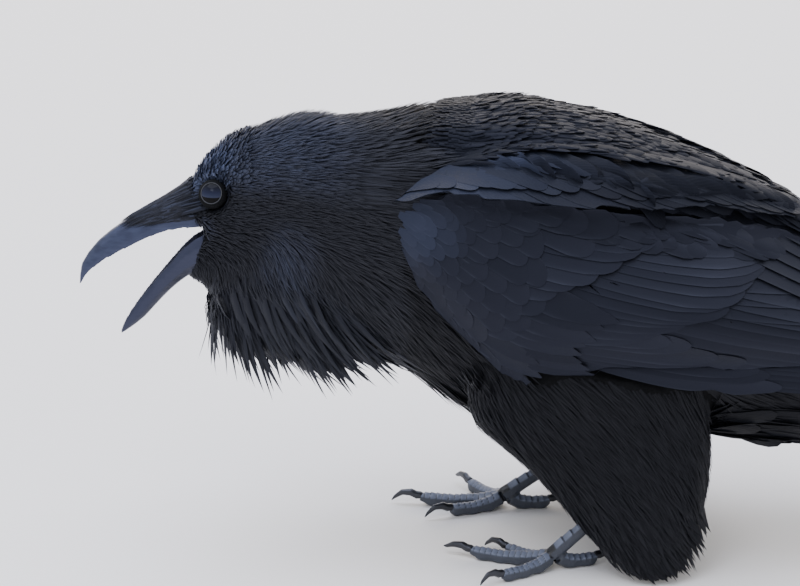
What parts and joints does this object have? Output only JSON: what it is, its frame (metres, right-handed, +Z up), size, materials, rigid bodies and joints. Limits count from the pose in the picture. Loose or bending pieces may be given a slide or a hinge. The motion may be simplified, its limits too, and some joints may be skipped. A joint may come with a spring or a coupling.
{
  "type": "common raven",
  "caption": "Life-size common raven, a still model: crouched, neck stretched forward, bill open in a call, throat hackles raised, wings folded over the tail.",
  "frame": {"origin": "bottom centre of the bounding box, on the floor the bird stands on", "axes": "-X forward (the bill points that way), -Y the bird's left side, +Z up"},
  "size_m": [0.6023, 0.1575, 0.2272],
  "materials": {
    "plumage": "black body feathers, soft sheen",
    "flight_feathers": "black wing and tail feathers, blue-violet gloss",
    "horn": "dark satin horn",
    "tongue_skin": "dark moist skin",
    "eye": "wet, almost black brown",
    "leg_scales": "black-grey scales"
  },
  "bodies": {
    "root": {"head": "plumage", "neck": "plumage", "trunk": "plumage", "throat_hackles": "plumage", "bill_upper": "horn", "bill_lower": "horn", "tongue": "tongue_skin", "tail": "flight_feathers", "eye_left": "eye", "scapulars_left": "flight_feathers", "wing_left": "flight_feathers", "primaries_left": "flight_feathers", "thigh_left": "plumage", "shank_left": "leg_scales", "toe_middle_left": "leg_scales", "claw_middle_left": "horn", "toe_inner_left": "leg_scales", "claw_inner_left": "horn", "toe_outer_left": "leg_scales", "claw_outer_left": "horn", "toe_hind_left": "leg_scales", "claw_hind_left": "horn", "eye_right": "eye", "scapulars_right": "flight_feathers", "wing_right": "flight_feathers", "primaries_right": "flight_feathers", "thigh_right": "plumage", "shank_right": "leg_scales", "toe_middle_right": "leg_scales", "claw_middle_right": "horn", "toe_inner_right": "leg_scales", "claw_inner_right": "horn", "toe_outer_right": "leg_scales", "claw_outer_right": "horn", "toe_hind_right": "leg_scales", "claw_hind_right": "horn"}
  },
  "joints": []
}
